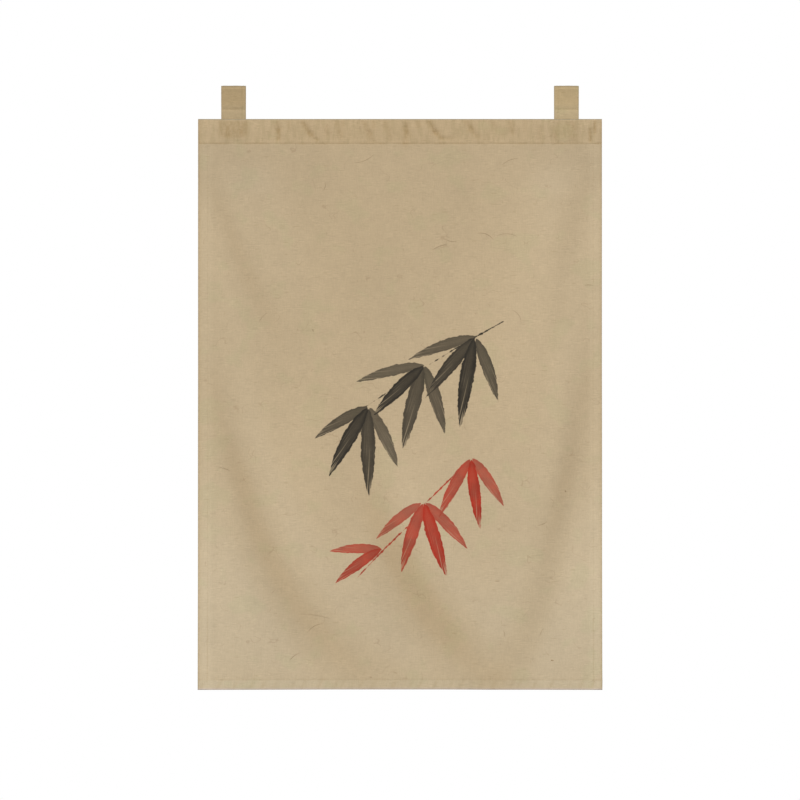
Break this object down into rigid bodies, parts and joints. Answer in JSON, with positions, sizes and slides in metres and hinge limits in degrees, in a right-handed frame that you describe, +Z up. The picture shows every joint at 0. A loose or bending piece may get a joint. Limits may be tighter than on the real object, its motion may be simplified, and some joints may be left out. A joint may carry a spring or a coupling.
{
  "type": "noren curtain",
  "caption": "Short doorway curtain of plain hemmed linen-look cloth with an ink-wash motif, hung from two sewn cloth loops, shown hanging in soft swags.",
  "frame": {"origin": "on the axis of the pole that would pass through both loops, midway between them", "axes": "+X to the right as seen from the front, +Y away from the viewer, so the front faces -Y, +Z up"},
  "size_m": [0.8507, 0.0493, 1.2702],
  "materials": {
    "panel_cloth": "plain-woven natural linen colour, matt",
    "tab_cloth": "the same cloth folded into a strap, matt"
  },
  "bodies": {
    "root": {"panel": "panel_cloth", "tab_left": "tab_cloth", "tab_right": "tab_cloth"}
  },
  "joints": []
}
